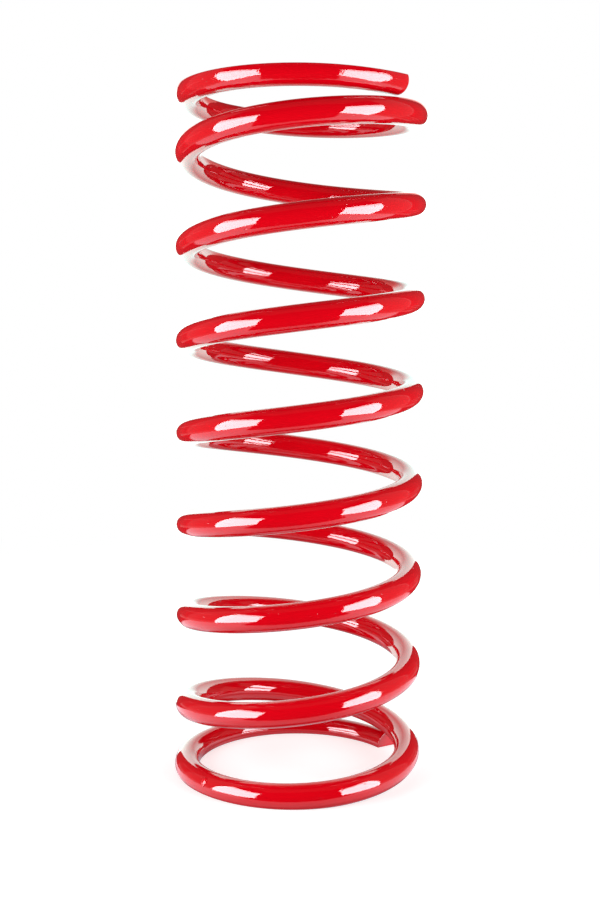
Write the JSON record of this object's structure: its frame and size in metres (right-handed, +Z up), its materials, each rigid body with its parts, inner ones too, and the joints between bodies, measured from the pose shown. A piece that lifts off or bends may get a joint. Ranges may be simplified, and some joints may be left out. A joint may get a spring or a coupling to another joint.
{
  "type": "helical compression spring",
  "caption": "Right-hand helical compression spring of heavy round wire with closed and ground ends, coated gloss red",
  "frame": {"origin": "centre of the lower ground seat, on the coil's axis", "axes": "+Z runs up the coil's axis, from the lower seat to the upper seat; the lower tip lies 32 degrees from +X towards +Y"},
  "size_m": [0.1295, 0.1303, 0.353],
  "materials": {
    "red_coating": "high-gloss red powder coating over spring steel, with slight orange peel"
  },
  "bodies": {
    "root": {"coil_spring": "red_coating"}
  },
  "joints": []
}
